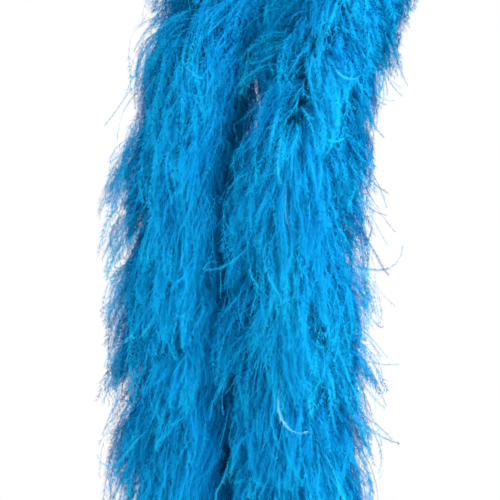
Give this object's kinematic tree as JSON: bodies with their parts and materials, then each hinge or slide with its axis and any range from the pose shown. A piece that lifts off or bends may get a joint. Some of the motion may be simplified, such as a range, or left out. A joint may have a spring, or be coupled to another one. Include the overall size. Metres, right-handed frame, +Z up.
{
  "type": "feather boa",
  "caption": "Full turquoise ostrich feather boa worn round the neck, with two free tails hanging side by side in front and a cord loop at each end.",
  "frame": {"origin": "the point on the back of the wearer's neck that the boa rests against", "axes": "+Z up, -Y to the front, +X towards the side of the front tail"},
  "size_m": [0.455, 0.5531, 1.022],
  "materials": {
    "plume": "soft dyed ostrich flues",
    "quill": "pared, dyed quill",
    "ply_string": "twisted dyed cotton",
    "core_cord": "braided dyed cotton",
    "thread": "waxed dyed thread",
    "knot": "tightly drawn dyed cord",
    "loop": "laid dyed cotton cord"
  },
  "bodies": {
    "neck_section": {"neck_binding_threads": "thread", "neck_core_cord": "core_cord", "neck_plume_01": "plume", "neck_plume_02": "plume", "neck_plume_03": "plume", "neck_plume_04": "plume", "neck_plume_05": "plume", "neck_plume_06": "plume", "neck_plume_07": "plume", "neck_plume_08": "plume", "neck_plume_09": "plume", "neck_plume_10": "plume", "neck_plume_11": "plume", "neck_plume_12": "plume", "neck_plume_13": "plume", "neck_plume_14": "plume", "neck_plume_15": "plume", "neck_ply_strands": "ply_string", "neck_quill_strips": "quill"},
    "left_upper": {"left_upper_binding_threads": "thread", "left_upper_core_cord": "core_cord", "left_upper_ply_strands": "ply_string", "left_upper_quill_strips": "quill", "left_plume_1": "plume", "left_plume_2": "plume"},
    "left_middle": {"left_middle_binding_threads": "thread", "left_middle_core_cord": "core_cord", "left_middle_ply_strands": "ply_string", "left_middle_quill_strips": "quill", "left_plume_3": "plume", "left_plume_4": "plume"},
    "left_lower": {"left_lower_binding_threads": "thread", "left_lower_core_cord": "core_cord", "left_lower_ply_strands": "ply_string", "left_lower_quill_strips": "quill", "left_plume_5": "plume", "left_plume_6": "plume", "left_end_knot": "knot"},
    "left_loop": {"left_end_loop": "loop"},
    "right_upper": {"right_upper_binding_threads": "thread", "right_upper_core_cord": "core_cord", "right_upper_ply_strands": "ply_string", "right_upper_quill_strips": "quill", "right_plume_1": "plume", "right_plume_2": "plume"},
    "right_middle": {"right_middle_binding_threads": "thread", "right_middle_core_cord": "core_cord", "right_middle_ply_strands": "ply_string", "right_middle_quill_strips": "quill", "right_plume_3": "plume", "right_plume_4": "plume"},
    "right_lower": {"right_lower_binding_threads": "thread", "right_lower_core_cord": "core_cord", "right_lower_ply_strands": "ply_string", "right_lower_quill_strips": "quill", "right_plume_5": "plume", "right_plume_6": "plume", "right_end_knot": "knot"},
    "right_loop": {"right_end_loop": "loop"}
  },
  "joints": [
    {"name": "left_side_swing", "type": "hinge", "parent": "neck_section", "child": "left_upper", "pos_m": [-0.156, -0.222, -0.336], "axis": [0, 1, 0], "range_deg": [0, 34]},
    {"name": "left_back_swing", "type": "hinge", "parent": "left_upper", "child": "left_middle", "pos_m": [-0.16055, -0.22389, -0.50899], "axis": [1, 0, 0], "range_deg": [0, 38]},
    {"name": "left_tip_swing", "type": "hinge", "parent": "left_middle", "child": "left_lower", "pos_m": [-0.15421, -0.22312, -0.68301], "axis": [0, 1, 0], "range_deg": [0, 38]},
    {"name": "left_loop_swing", "type": "hinge", "parent": "left_lower", "child": "left_loop", "pos_m": [-0.15308, -0.22392, -0.8562], "axis": [1, 0, 0], "range_deg": [-60, 60]},
    {"name": "right_side_swing", "type": "hinge", "parent": "neck_section", "child": "right_upper", "pos_m": [-0.024, -0.292, -0.328], "axis": [0, -1, 0], "range_deg": [0, 27]},
    {"name": "right_front_swing", "type": "hinge", "parent": "right_upper", "child": "right_middle", "pos_m": [-0.02955, -0.29766, -0.501], "axis": [-1, 0, 0], "range_deg": [0, 38]},
    {"name": "right_tip_swing", "type": "hinge", "parent": "right_middle", "child": "right_lower", "pos_m": [-0.02544, -0.29511, -0.675], "axis": [0, -1, 0], "range_deg": [0, 38]},
    {"name": "right_loop_swing", "type": "hinge", "parent": "right_lower", "child": "right_loop", "pos_m": [-0.03024, -0.29508, -0.84419], "axis": [1, 0, 0], "range_deg": [-60, 60]}
  ]
}
